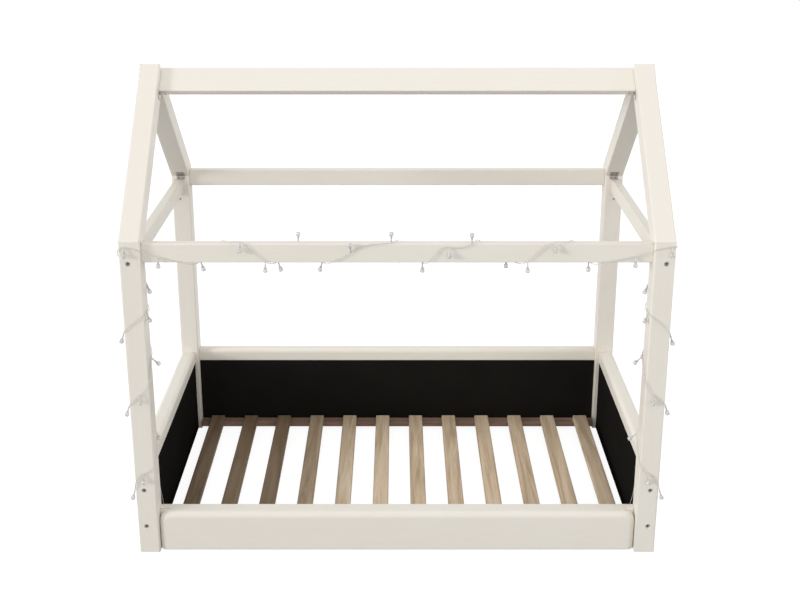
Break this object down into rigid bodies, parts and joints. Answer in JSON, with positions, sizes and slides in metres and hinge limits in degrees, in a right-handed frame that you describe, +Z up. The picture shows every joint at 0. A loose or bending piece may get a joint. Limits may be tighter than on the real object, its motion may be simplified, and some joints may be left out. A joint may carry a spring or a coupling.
{
  "type": "house frame bed",
  "caption": "Low toddler bed with a house-shaped timber frame, gables, panelled ends and back, slatted base and a wound string of small lights.",
  "frame": {"origin": "centre of the footprint on the floor", "axes": "+X along the bed, to the right seen from its open front; +Y from the front to the back; +Z up"},
  "size_m": [1.538, 0.8302, 1.366],
  "materials": {
    "white_painted_timber": "smooth cream-white paint, satin",
    "black_panel": "matt black board",
    "slat_timber": "planed, unpainted",
    "ledger_timber": "planed, unpainted, reddish",
    "zinc_steel": "bright zinc",
    "bolt_steel": "bright zinc",
    "case_plastic": "satin white",
    "switch_plastic": "satin black",
    "cell_jacket": "plain jacket",
    "wire_jacket": "clear jacket over copper",
    "bulb_plastic": "clear, moulded"
  },
  "bodies": {
    "bed": {"front_left_post": "white_painted_timber", "rear_left_post": "white_painted_timber", "front_right_post": "white_painted_timber", "rear_right_post": "white_painted_timber", "front_left_rafter": "white_painted_timber", "rear_left_rafter": "white_painted_timber", "front_right_rafter": "white_painted_timber", "rear_right_rafter": "white_painted_timber", "ridge_beam": "white_painted_timber", "front_eave_beam": "white_painted_timber", "rear_eave_beam": "white_painted_timber", "left_tie_beam": "white_painted_timber", "right_tie_beam": "white_painted_timber", "front_rail": "white_painted_timber", "left_panel_cap_rail": "white_painted_timber", "left_panel_front_stile": "white_painted_timber", "left_panel_rear_stile": "white_painted_timber", "left_panel_bottom_rail": "white_painted_timber", "right_panel_cap_rail": "white_painted_timber", "right_panel_front_stile": "white_painted_timber", "right_panel_rear_stile": "white_painted_timber", "right_panel_bottom_rail": "white_painted_timber", "back_panel_cap_rail": "white_painted_timber", "back_panel_left_stile": "white_painted_timber", "back_panel_right_stile": "white_painted_timber", "back_panel_bottom_rail": "white_painted_timber", "left_panel_black_sheet": "black_panel", "right_panel_black_sheet": "black_panel", "back_panel_black_sheet": "black_panel", "front_ledger": "ledger_timber", "rear_ledger": "ledger_timber", "slat_01": "slat_timber", "slat_02": "slat_timber", "slat_03": "slat_timber", "slat_04": "slat_timber", "slat_05": "slat_timber", "slat_06": "slat_timber", "slat_07": "slat_timber", "slat_08": "slat_timber", "slat_09": "slat_timber", "slat_10": "slat_timber", "slat_11": "slat_timber", "slat_12": "slat_timber", "eave_brackets": "zinc_steel", "ridge_brackets": "zinc_steel", "eave_beam_brackets": "zinc_steel", "rail_joint_plates": "zinc_steel", "back_panel_joint_plates": "zinc_steel", "connector_bolts": "bolt_steel", "battery_case": "case_plastic", "battery_lid": "case_plastic", "battery_cells": "cell_jacket", "wire_grommet": "case_plastic", "light_string_wire": "wire_jacket", "left_post_bulbs": "bulb_plastic", "beam_bulbs": "bulb_plastic", "right_post_bulbs": "bulb_plastic"},
    "switch": {"switch_slider": "switch_plastic"}
  },
  "joints": [
    {"name": "switch_slide", "type": "slide", "parent": "bed", "child": "switch", "axis": [0, 0, 1], "range_m": [0, 0.004]}
  ]
}
